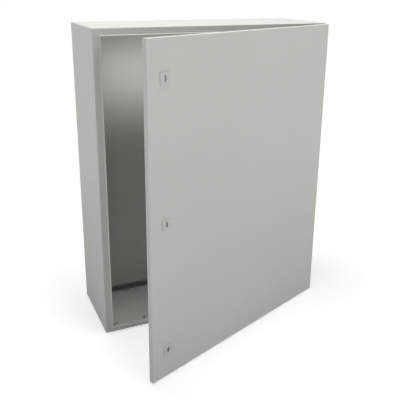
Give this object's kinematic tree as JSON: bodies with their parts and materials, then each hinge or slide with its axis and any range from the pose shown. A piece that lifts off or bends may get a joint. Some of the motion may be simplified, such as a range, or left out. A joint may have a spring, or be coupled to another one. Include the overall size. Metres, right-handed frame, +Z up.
{
  "type": "steel wall enclosure",
  "caption": "Tall flat-sided steel wall enclosure with a full-height hinged door standing ajar, cam locks, a foamed door seal and a mounting plate inside.",
  "frame": {"origin": "centre of the rectangle of four wall-fixing holes, on the rear face that lies against the wall", "axes": "+Z up, +Y into the wall, the door faces -Y, +X to the right seen from the front, where the hinges are"},
  "size_m": [0.8003, 0.5891, 1],
  "materials": {
    "case_paint": "light grey powder coat, fine texture, satin",
    "door_paint": "light grey powder coat, fine texture, satin",
    "mounting_plate_paint": "light grey coat, satin",
    "gland_plate_paint": "light grey coat, satin",
    "lock_paint": "light grey coated die casting, satin",
    "lock_insert_metal": "nickel-plated zinc die casting",
    "zinc_plated_steel": "clear zinc plating",
    "gasket_foam": "foamed-in-place sealing foam, matt, skinned"
  },
  "bodies": {
    "case": {"case_shell": "case_paint", "rear_panel": "case_paint", "gland_plate_gasket": "gasket_foam", "gland_plate": "gland_plate_paint", "gland_plate_studs": "zinc_plated_steel", "gland_plate_washers": "zinc_plated_steel", "gland_plate_nuts": "zinc_plated_steel", "mounting_plate_studs": "zinc_plated_steel", "mounting_plate_spacers": "zinc_plated_steel", "mounting_plate": "mounting_plate_paint", "mounting_plate_washers": "zinc_plated_steel", "mounting_plate_nuts": "zinc_plated_steel", "case_earth_stud": "zinc_plated_steel", "case_earth_washers": "zinc_plated_steel", "case_earth_nuts": "zinc_plated_steel", "upper_hinge_case_leaf": "zinc_plated_steel", "middle_hinge_case_leaf": "zinc_plated_steel", "lower_hinge_case_leaf": "zinc_plated_steel", "hinge_pins": "zinc_plated_steel"},
    "door": {"door_skin": "door_paint", "door_gasket": "gasket_foam", "lock_side_rail": "door_paint", "hinge_side_rail": "door_paint", "upper_hinge_door_leaf": "zinc_plated_steel", "middle_hinge_door_leaf": "zinc_plated_steel", "lower_hinge_door_leaf": "zinc_plated_steel", "door_earth_stud": "zinc_plated_steel", "door_earth_washers": "zinc_plated_steel", "door_earth_nuts": "zinc_plated_steel", "upper_lock_housing": "lock_paint", "middle_lock_housing": "lock_paint", "lower_lock_housing": "lock_paint", "lock_ring_nuts": "zinc_plated_steel"},
    "upper_lock": {"upper_lock_insert": "lock_insert_metal", "upper_lock_cam": "zinc_plated_steel", "upper_lock_screw": "zinc_plated_steel"},
    "middle_lock": {"middle_lock_insert": "lock_insert_metal", "middle_lock_cam": "zinc_plated_steel", "middle_lock_screw": "zinc_plated_steel"},
    "lower_lock": {"lower_lock_insert": "lock_insert_metal", "lower_lock_cam": "zinc_plated_steel", "lower_lock_screw": "zinc_plated_steel"}
  },
  "joints": [
    {"name": "door_hinge", "type": "hinge", "parent": "case", "child": "door", "pos_m": [0.3935, -0.293, 0], "axis": [0, 0, 1], "range_deg": [-21.5, 98.5]},
    {"name": "upper_lock_turn", "type": "hinge", "parent": "door", "child": "upper_lock", "pos_m": [-0.29246, -0.55568, 0.394], "axis": [-0.3665, 0.9304, 0], "range_deg": [0, 90]},
    {"name": "middle_lock_turn", "type": "hinge", "parent": "door", "child": "middle_lock", "pos_m": [-0.29246, -0.55568, -0.006], "axis": [-0.3665, 0.9304, 0], "range_deg": [0, 90]},
    {"name": "lower_lock_turn", "type": "hinge", "parent": "door", "child": "lower_lock", "pos_m": [-0.29246, -0.55568, -0.406], "axis": [-0.3665, 0.9304, 0], "range_deg": [0, 90]}
  ]
}
